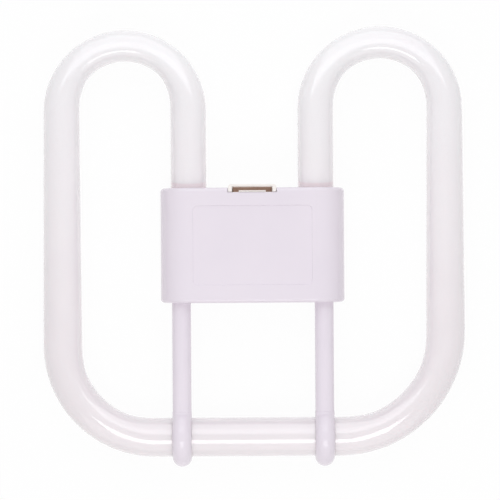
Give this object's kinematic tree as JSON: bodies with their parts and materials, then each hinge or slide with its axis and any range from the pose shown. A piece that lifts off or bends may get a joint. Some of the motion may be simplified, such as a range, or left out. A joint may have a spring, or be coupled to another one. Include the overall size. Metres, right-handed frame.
{
  "type": "square compact fluorescent lamp",
  "caption": "Flat square fluorescent lamp: one folded glass tube with two loops, held by a central plastic housing with a pin socket and two hooked arms.",
  "frame": {"origin": "centre of the housing's flat back, on which the lamp lies", "axes": "+X to the right, +Y from the bottom tube towards the loops and out of the socket, +Z from the back of the housing to its front"},
  "size_m": [0.2044, 0.2131, 0.028],
  "materials": {
    "tube_glass": "smooth phosphor-coated glass",
    "housing_plastic": "fine satin moulding",
    "cap_plastic": "fine satin moulding",
    "base_plastic": "pressed phenolic",
    "pin_brass": "bright turned brass",
    "lead_metal": "drawn wire",
    "sleeve_fibre": "braided insulating sleeve",
    "gasket_silicone": "soft silicone"
  },
  "bodies": {
    "root": {"discharge_tube": "tube_glass", "front_cover": "housing_plastic", "rear_cover": "housing_plastic", "lamp_cap": "cap_plastic", "pin_base": "base_plastic", "contact_pin_1": "pin_brass", "contact_pin_2": "pin_brass", "contact_pin_3": "pin_brass", "contact_pin_4": "pin_brass", "lead_wire_1": "lead_metal", "lead_wire_2": "lead_metal", "lead_wire_3": "lead_metal", "lead_wire_4": "lead_metal", "wire_sleeve_1": "sleeve_fibre", "wire_sleeve_2": "sleeve_fibre", "wire_sleeve_3": "sleeve_fibre", "wire_sleeve_4": "sleeve_fibre", "tube_gasket_left": "gasket_silicone", "tube_gasket_right": "gasket_silicone"}
  },
  "joints": []
}
